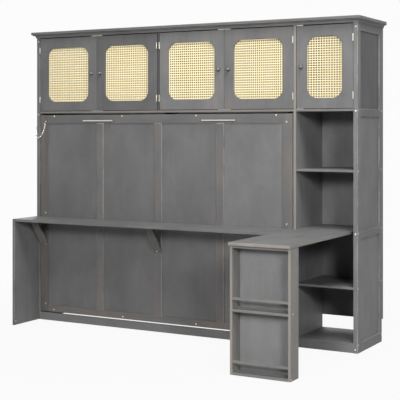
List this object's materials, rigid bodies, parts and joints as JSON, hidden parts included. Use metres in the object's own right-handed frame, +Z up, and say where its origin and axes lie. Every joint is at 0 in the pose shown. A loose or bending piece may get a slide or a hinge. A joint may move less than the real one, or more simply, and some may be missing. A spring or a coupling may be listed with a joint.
{
  "type": "horizontal wall bed with folding desk",
  "caption": "Grey horizontal wall bed in a cabinet with cane-fronted cupboards, a folding desk on the bed face, a shelf tower and a wing desk on a bookcase leg",
  "frame": {"origin": "on the floor, in the middle of the overall footprint with the wing desk", "axes": "+X to the right as seen from the room, +Y towards the wall, +Z up"},
  "size_m": [2.506, 1.344, 2.07],
  "materials": {
    "stained_wood": "weathered grey stain with visible grain, matt",
    "worn_edge_wood": "the same stain worn to tan at the edges",
    "bare_wood": "plain sawn pine, unstained",
    "nickel": "satin nickel",
    "zinc_steel": "zinc-plated steel",
    "cane": "natural woven cane"
  },
  "bodies": {
    "cabinet": {"left_side_frame": "stained_wood", "right_side_frame": "stained_wood", "side_panels": "stained_wood", "pivot_board": "stained_wood", "hutch_divider": "stained_wood", "hutch_floor": "stained_wood", "carcass_top": "stained_wood", "cap_board": "stained_wood", "back_frame": "stained_wood", "back_panels": "stained_wood", "tower_shelves": "stained_wood", "plinth_boards": "stained_wood", "wing_desk_top": "stained_wood", "leg_back": "stained_wood", "end_panel": "stained_wood", "bed_stops": "stained_wood", "tower_wall": "worn_edge_wood", "cove_moulding": "worn_edge_wood", "leg_sides": "worn_edge_wood", "leg_shelves": "worn_edge_wood", "leg_bars": "worn_edge_wood", "door_hinge_posts": "nickel", "catch_plates": "nickel", "chain_hook": "nickel", "pivot_plates": "zinc_steel"},
    "bed": {"bed_stiles": "stained_wood", "bed_rails": "stained_wood", "bed_mullions": "worn_edge_wood", "bed_panels": "stained_wood", "bed_box_boards": "bare_wood", "bed_battens": "bare_wood", "bed_slats": "bare_wood", "bed_pulls": "nickel", "desk_braces": "stained_wood", "pivot_bushes": "zinc_steel", "desk_hinge_fixed": "nickel", "chain_staple": "nickel"},
    "desk": {"long_desk_top": "stained_wood", "desk_hinge_moving": "nickel"},
    "safety_chain": {"safety_chain": "nickel"},
    "door_1": {"door_1_frame": "stained_wood", "door_1_cane": "cane", "door_1_knob": "nickel", "door_1_hinges": "nickel"},
    "door_2": {"door_2_frame": "stained_wood", "door_2_cane": "cane", "door_2_knob": "nickel", "door_2_hinges": "nickel"},
    "door_3": {"door_3_frame": "stained_wood", "door_3_cane": "cane", "door_3_knob": "nickel", "door_3_hinges": "nickel"},
    "door_4": {"door_4_frame": "stained_wood", "door_4_cane": "cane", "door_4_knob": "nickel", "door_4_hinges": "nickel"},
    "door_5": {"door_5_frame": "stained_wood", "door_5_cane": "cane", "door_5_knob": "nickel", "door_5_hinges": "nickel"}
  },
  "joints": [
    {"name": "bed_fold", "type": "hinge", "parent": "cabinet", "child": "bed", "pos_m": [-0.2015, 0.312, 0.38], "axis": [1, 0, 0], "range_deg": [0, 90], "stiffness_Nm_per_rad": 170, "springref_deg": -34.38},
    {"name": "desk_fold", "type": "hinge", "parent": "bed", "child": "desk", "pos_m": [-0.2015, 0.2059, 0.7398], "axis": [-1, 0, 0], "range_deg": [0, 90]},
    {"name": "chain_swing", "type": "hinge", "parent": "bed", "child": "safety_chain", "pos_m": [-1.153, 0.204, 1.415], "axis": [1, 0, 0], "range_deg": [-90, 0]},
    {"name": "door_1_swing", "type": "hinge", "parent": "cabinet", "child": "door_1", "pos_m": [-1.1985, 0.2084, 1.7645], "axis": [0, 0, -1], "range_deg": [0, 110]},
    {"name": "door_2_swing", "type": "hinge", "parent": "cabinet", "child": "door_2", "pos_m": [-0.2125, 0.2084, 1.7645], "axis": [0, 0, 1], "range_deg": [0, 87]},
    {"name": "door_3_swing", "type": "hinge", "parent": "cabinet", "child": "door_3", "pos_m": [-0.1905, 0.2084, 1.7645], "axis": [0, 0, -1], "range_deg": [0, 87]},
    {"name": "door_4_swing", "type": "hinge", "parent": "cabinet", "child": "door_4", "pos_m": [0.7955, 0.2084, 1.7645], "axis": [0, 0, 1], "range_deg": [0, 110]},
    {"name": "door_5_swing", "type": "hinge", "parent": "cabinet", "child": "door_5", "pos_m": [1.1985, 0.2084, 1.7645], "axis": [0, 0, 1], "range_deg": [0, 110]}
  ],
  "couplings": [
    {"joint": "chain_swing", "follows": "bed_fold", "ratio": -1}
  ]
}
